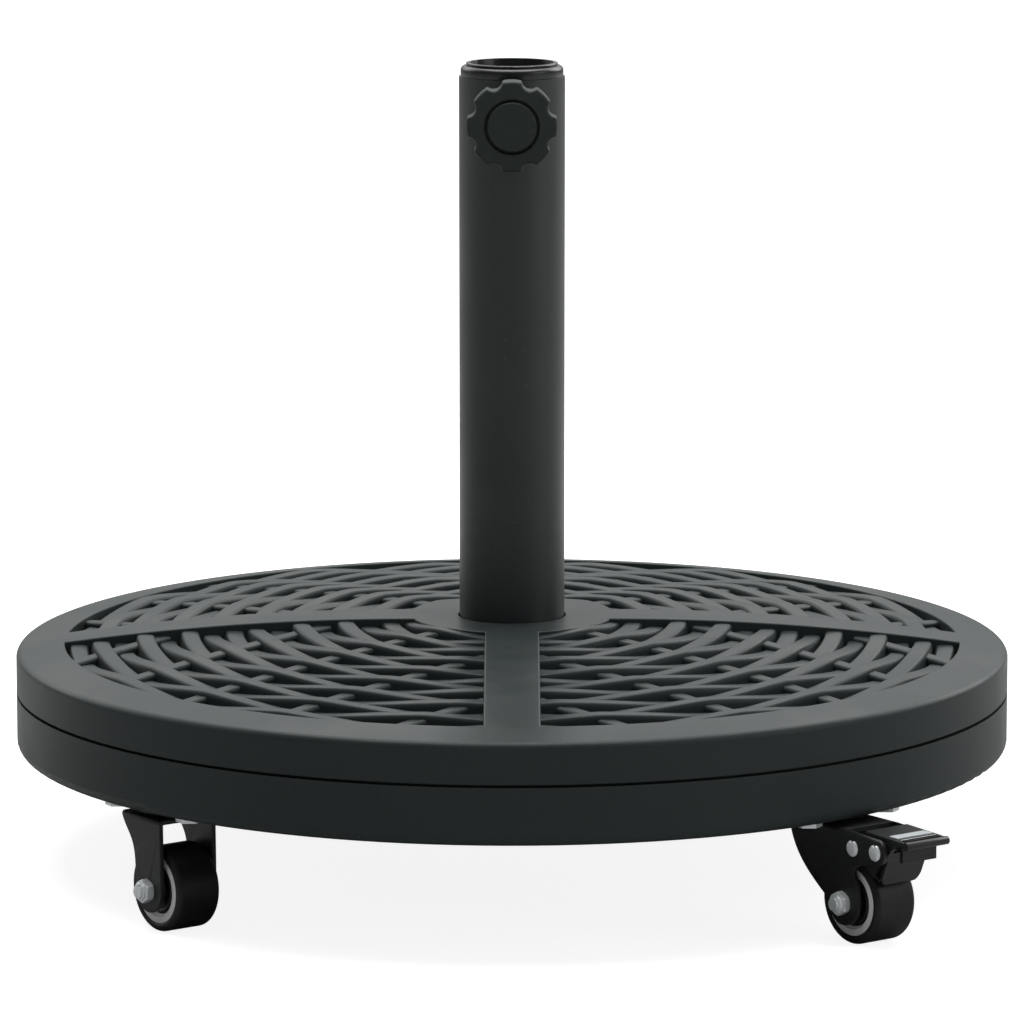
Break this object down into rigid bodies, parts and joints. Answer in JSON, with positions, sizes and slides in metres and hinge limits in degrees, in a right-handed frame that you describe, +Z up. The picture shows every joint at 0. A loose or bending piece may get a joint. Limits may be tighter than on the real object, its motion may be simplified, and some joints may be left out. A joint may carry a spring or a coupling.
{
  "type": "wheeled parasol base",
  "caption": "Round concrete-filled parasol base with a wicker-pattern top, a steel pole tube with clamp knob and reducer sleeve, and lockable swivel casters.",
  "frame": {"origin": "on the floor under the axis of the pole tube", "axes": "+Z up along the pole tube, the clamp knob faces -Y"},
  "size_m": [0.48, 0.48, 0.3876],
  "materials": {
    "shell_plastic": "fine moulded texture, matt, dark grey",
    "concrete": "rough cast",
    "galvanised_steel": "dull galvanised",
    "zinc_steel": "bright zinc plate",
    "black_steel": "black powder coat, satin",
    "tube_paint": "dark grey powder coat, satin",
    "sleeve_plastic": "moulded, half gloss",
    "knob_plastic": "fine moulded texture",
    "tyre_rubber": "smooth black rubber",
    "core_plastic": "light grey, moulded",
    "brake_steel": "black powder coat",
    "pedal_plastic": "moulded, fine texture",
    "grip_plastic": "light grey, ribbed",
    "pad_nylon": "smooth nylon"
  },
  "bodies": {
    "base": {"top_cover": "shell_plastic", "bottom_tray": "shell_plastic", "concrete_ballast": "concrete", "tube_socket": "galvanised_steel", "pole_tube": "tube_paint", "tube_plug": "galvanised_steel", "base_bolt": "zinc_steel", "base_washer": "zinc_steel", "clamp_boss": "tube_paint", "swivel_balls": "zinc_steel", "plate_bolts": "zinc_steel", "thread_inserts": "zinc_steel", "caster_plate_front_left": "black_steel", "kingpin_front_left": "black_steel", "caster_plate_front_right": "black_steel", "kingpin_front_right": "black_steel", "caster_plate_rear_right": "black_steel", "kingpin_rear_right": "black_steel", "caster_plate_rear_left": "black_steel", "kingpin_rear_left": "black_steel"},
    "sleeve": {"reducer_sleeve": "sleeve_plastic"},
    "pad": {"screw_pad": "pad_nylon"},
    "knob": {"knob_grip": "knob_plastic", "knob_cap": "knob_plastic", "knob_screw": "zinc_steel"},
    "fork_front_left": {"fork_front_left": "black_steel", "axle_bush_front_left": "galvanised_steel", "axle_bolt_front_left": "zinc_steel", "axle_nut_front_left": "zinc_steel"},
    "wheel_front_left": {"tyre_front_left": "tyre_rubber", "wheel_core_front_left": "core_plastic"},
    "fork_front_right": {"fork_front_right": "black_steel", "axle_bush_front_right": "galvanised_steel", "axle_bolt_front_right": "zinc_steel", "axle_nut_front_right": "zinc_steel", "brake_pins_front_right": "zinc_steel"},
    "wheel_front_right": {"tyre_front_right": "tyre_rubber", "wheel_core_front_right": "core_plastic"},
    "brake_front_right": {"brake_lever_front_right": "brake_steel", "brake_pedal_front_right": "pedal_plastic", "brake_grip_front_right": "grip_plastic"},
    "fork_rear_right": {"fork_rear_right": "black_steel", "axle_bush_rear_right": "galvanised_steel", "axle_bolt_rear_right": "zinc_steel", "axle_nut_rear_right": "zinc_steel"},
    "wheel_rear_right": {"tyre_rear_right": "tyre_rubber", "wheel_core_rear_right": "core_plastic"},
    "fork_rear_left": {"fork_rear_left": "black_steel", "axle_bush_rear_left": "galvanised_steel", "axle_bolt_rear_left": "zinc_steel", "axle_nut_rear_left": "zinc_steel", "brake_pins_rear_left": "zinc_steel"},
    "wheel_rear_left": {"tyre_rear_left": "tyre_rubber", "wheel_core_rear_left": "core_plastic"},
    "brake_rear_left": {"brake_lever_rear_left": "brake_steel", "brake_pedal_rear_left": "pedal_plastic", "brake_grip_rear_left": "grip_plastic"}
  },
  "joints": [
    {"name": "sleeve_lift", "type": "slide", "parent": "base", "child": "sleeve", "axis": [0, 0, 1], "range_m": [0, 0.06]},
    {"name": "pad_advance", "type": "slide", "parent": "base", "child": "pad", "axis": [0, 1, 0], "range_m": [0, 0.005]},
    {"name": "knob_turn", "type": "hinge", "parent": "pad", "child": "knob", "pos_m": [0, -0.04, 0.3624], "axis": [0, 1, 0], "range_deg": [0, 1440]},
    {"name": "swivel_front_left", "type": "hinge", "parent": "base", "child": "fork_front_left", "pos_m": [-0.1598, -0.14902, 0.0561], "axis": [0, 0, 1], "continuous": true},
    {"name": "roll_front_left", "type": "hinge", "parent": "fork_front_left", "child": "wheel_front_left", "pos_m": [-0.15559, -0.15461, 0.02], "axis": [0.7986, 0.6018, 0], "continuous": true},
    {"name": "swivel_front_right", "type": "hinge", "parent": "base", "child": "fork_front_right", "pos_m": [0.14902, -0.1598, 0.0561], "axis": [0, 0, 1], "continuous": true},
    {"name": "roll_front_right", "type": "hinge", "parent": "fork_front_right", "child": "wheel_front_right", "pos_m": [0.16406, -0.17977, 0.02], "axis": [0.7986, 0.6018, 0], "continuous": true},
    {"name": "brake_front_right", "type": "hinge", "parent": "fork_front_right", "child": "brake_front_right", "pos_m": [0.1776, -0.19774, 0.0473], "axis": [0.7986, 0.6018, 0], "range_deg": [0, 6.5]},
    {"name": "swivel_rear_right", "type": "hinge", "parent": "base", "child": "fork_rear_right", "pos_m": [0.1598, 0.14902, 0.0561], "axis": [0, 0, 1], "continuous": true},
    {"name": "roll_rear_right", "type": "hinge", "parent": "fork_rear_right", "child": "wheel_rear_right", "pos_m": [0.16401, 0.14343, 0.02], "axis": [0.7986, 0.6018, 0], "continuous": true},
    {"name": "swivel_rear_left", "type": "hinge", "parent": "base", "child": "fork_rear_left", "pos_m": [-0.14902, 0.1598, 0.0561], "axis": [0, 0, 1], "continuous": true},
    {"name": "roll_rear_left", "type": "hinge", "parent": "fork_rear_left", "child": "wheel_rear_left", "pos_m": [-0.13397, 0.13983, 0.02], "axis": [0.7986, 0.6018, 0], "continuous": true},
    {"name": "brake_rear_left", "type": "hinge", "parent": "fork_rear_left", "child": "brake_rear_left", "pos_m": [-0.12043, 0.12187, 0.0473], "axis": [0.7986, 0.6018, 0], "range_deg": [0, 6.5]}
  ],
  "couplings": [
    {"joint": "knob_turn", "follows": "pad_advance", "rad_per_m": 5026.5}
  ]
}
